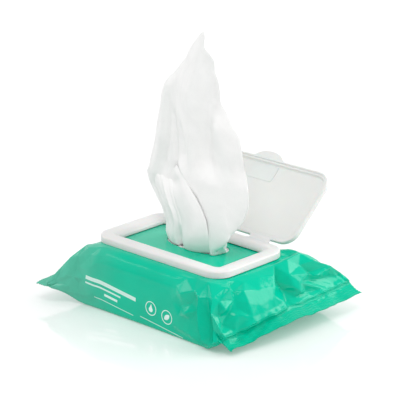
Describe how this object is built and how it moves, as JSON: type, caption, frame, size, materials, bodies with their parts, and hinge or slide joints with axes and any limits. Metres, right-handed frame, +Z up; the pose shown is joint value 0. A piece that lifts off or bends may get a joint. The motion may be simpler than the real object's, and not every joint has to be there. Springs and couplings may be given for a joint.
{
  "type": "wet wipes pack",
  "caption": "Soft film pack of folded wet wipes with a framed flip-top lid standing open and one wipe pulled up through the opening, ready for the next hand.",
  "frame": {"origin": "on the pouch's flat underside, straight below the centre of the lid frame", "axes": "+Z up, +X along the pack's length between its end seals, +Y from the lid frame's front edge towards its hinge"},
  "size_m": [0.165, 0.1432, 0.185],
  "materials": {
    "film": "glossy green film with plain white print",
    "lid_plastic": "satin white moulded plastic",
    "wipe_fabric": "white spunlace nonwoven, damp"
  },
  "bodies": {
    "pack": {"film_pouch": "film", "lid_frame": "lid_plastic", "wipe_01": "wipe_fabric", "wipe_02": "wipe_fabric", "wipe_03": "wipe_fabric", "wipe_04": "wipe_fabric", "wipe_05": "wipe_fabric", "wipe_06": "wipe_fabric", "wipe_07": "wipe_fabric", "wipe_08": "wipe_fabric", "wipe_09": "wipe_fabric", "wipe_10": "wipe_fabric", "wipe_11": "wipe_fabric", "wipe_12": "wipe_fabric", "wipe_13": "wipe_fabric", "wipe_14": "wipe_fabric", "wipe_15": "wipe_fabric", "wipe_16": "wipe_fabric", "wipe_17": "wipe_fabric", "wipe_18": "wipe_fabric", "wipe_19": "wipe_fabric", "pulled_wipe": "wipe_fabric"},
    "lid": {"lid": "lid_plastic"}
  },
  "joints": [
    {"name": "lid_hinge", "type": "hinge", "parent": "pack", "child": "lid", "pos_m": [0, 0.0335, 0.0463], "axis": [1, 0, 0], "range_deg": [-12, 138], "deforming": ["pulled_wipe"]}
  ]
}
